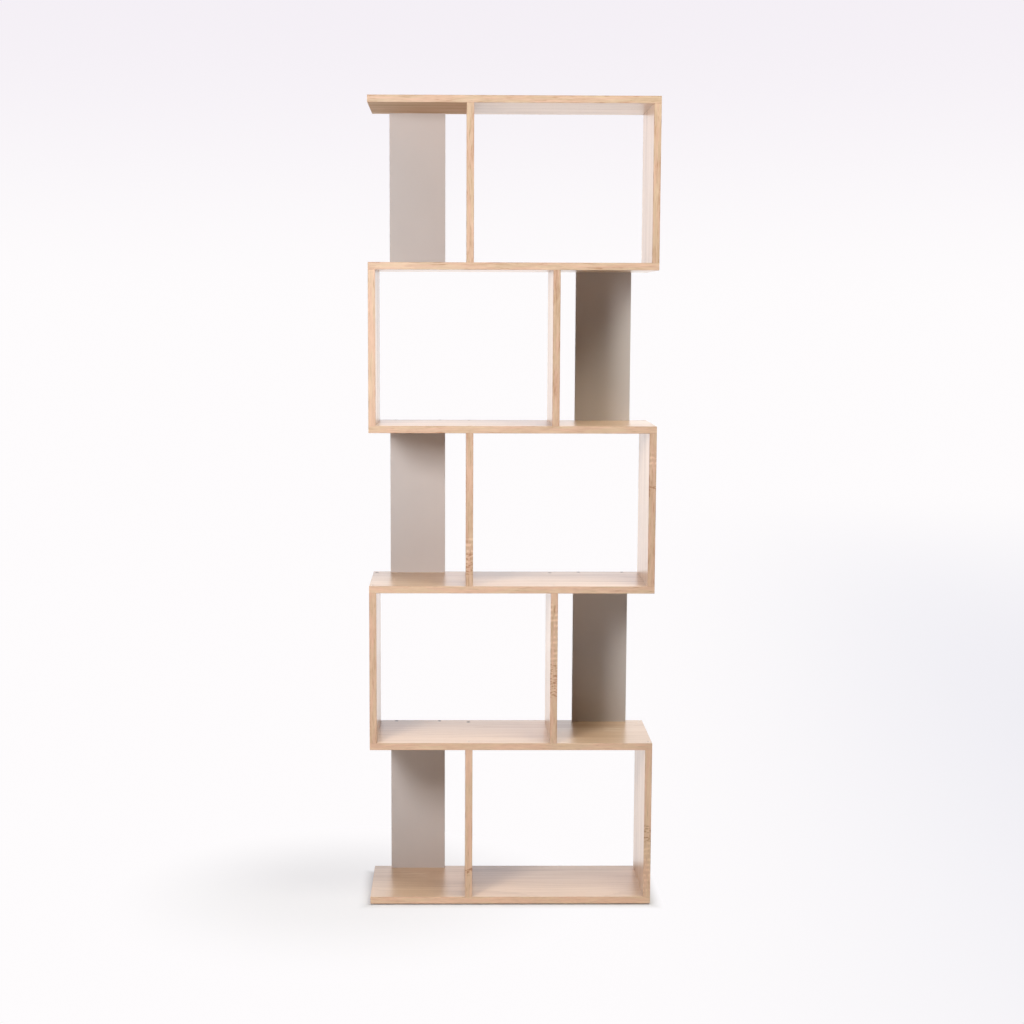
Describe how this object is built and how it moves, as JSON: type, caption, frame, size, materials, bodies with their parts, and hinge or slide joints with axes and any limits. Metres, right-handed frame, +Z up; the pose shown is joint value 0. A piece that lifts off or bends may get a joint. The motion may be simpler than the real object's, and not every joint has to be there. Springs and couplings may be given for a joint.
{
  "type": "zigzag bookshelf",
  "caption": "Tall zigzag bookshelf: pale oak-effect boards, box bays on alternate sides, open bays with a narrow taupe back panel, screwed together, on floor pads.",
  "frame": {"origin": "on the floor, under the middle of the shelf's width and depth", "axes": "+Z up, +Y from the front edge to the back edge, +X to the right seen from the front"},
  "size_m": [0.6, 0.23, 1.7],
  "materials": {
    "oak_board": "satin pale oak decor on board",
    "oak_edging": "satin pale oak edging",
    "taupe_board": "satin taupe decor on board",
    "taupe_edging": "satin taupe edging",
    "screw_steel": "zinc-plated steel",
    "floor_pad": "dull dark foam rubber"
  },
  "bodies": {
    "root": {"base_panel": "oak_board", "base_panel_edging": "oak_edging", "base_panel_screws": "screw_steel", "divider_1": "oak_board", "divider_1_edging": "oak_edging", "divider_2": "oak_board", "divider_2_edging": "oak_edging", "divider_3": "oak_board", "divider_3_edging": "oak_edging", "divider_4": "oak_board", "divider_4_edging": "oak_edging", "divider_5": "oak_board", "divider_5_edging": "oak_edging", "end_panel_1": "oak_board", "end_panel_1_edging": "oak_edging", "end_panel_2": "oak_board", "end_panel_2_edging": "oak_edging", "end_panel_3": "oak_board", "end_panel_3_edging": "oak_edging", "end_panel_4": "oak_board", "end_panel_4_edging": "oak_edging", "end_panel_5": "oak_board", "end_panel_5_edging": "oak_edging", "floor_pads": "floor_pad", "rear_panel_1": "taupe_board", "rear_panel_1_edging": "taupe_edging", "rear_panel_2": "taupe_board", "rear_panel_2_edging": "taupe_edging", "rear_panel_3": "taupe_board", "rear_panel_3_edging": "taupe_edging", "rear_panel_4": "taupe_board", "rear_panel_4_edging": "taupe_edging", "rear_panel_5": "taupe_board", "rear_panel_5_edging": "taupe_edging", "shelf_1": "oak_board", "shelf_1_edging": "oak_edging", "shelf_1_screws": "screw_steel", "shelf_2": "oak_board", "shelf_2_edging": "oak_edging", "shelf_2_screws": "screw_steel", "shelf_3": "oak_board", "shelf_3_edging": "oak_edging", "shelf_3_screws": "screw_steel", "shelf_4": "oak_board", "shelf_4_edging": "oak_edging", "shelf_4_screws": "screw_steel", "top_panel": "oak_board", "top_panel_edging": "oak_edging", "top_panel_screws": "screw_steel"}
  },
  "joints": []
}
